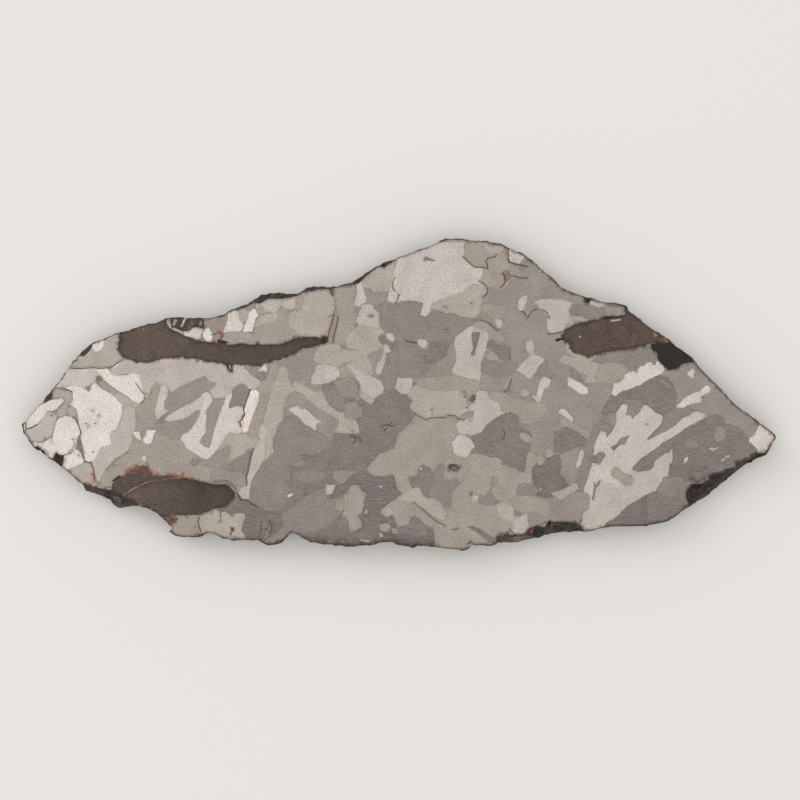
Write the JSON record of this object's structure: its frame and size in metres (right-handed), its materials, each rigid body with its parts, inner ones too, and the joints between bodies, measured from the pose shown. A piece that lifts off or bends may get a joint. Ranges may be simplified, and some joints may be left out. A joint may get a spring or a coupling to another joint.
{
  "type": "iron meteorite slice",
  "caption": "Thin lens-shaped cut slab of nickel-iron with one etched crystal-patterned face, dark sulphide nodules and a rough natural rind around its rim, for display or study.",
  "frame": {"origin": "on the resting plane under the middle of the outline's box, on the back cut", "axes": "+X along the slice to its pointed tip with the broad slope, +Y across it to the side with the high crest, +Z through its thickness out of the etched face"},
  "size_m": [0.2009, 0.0831, 0.008],
  "materials": {
    "etched_iron": "ground, polished and acid-etched nickel-iron in warm and cool greys, with dark brown sulphide nodules and a dark rind"
  },
  "bodies": {
    "root": {"slice": "etched_iron"}
  },
  "joints": []
}
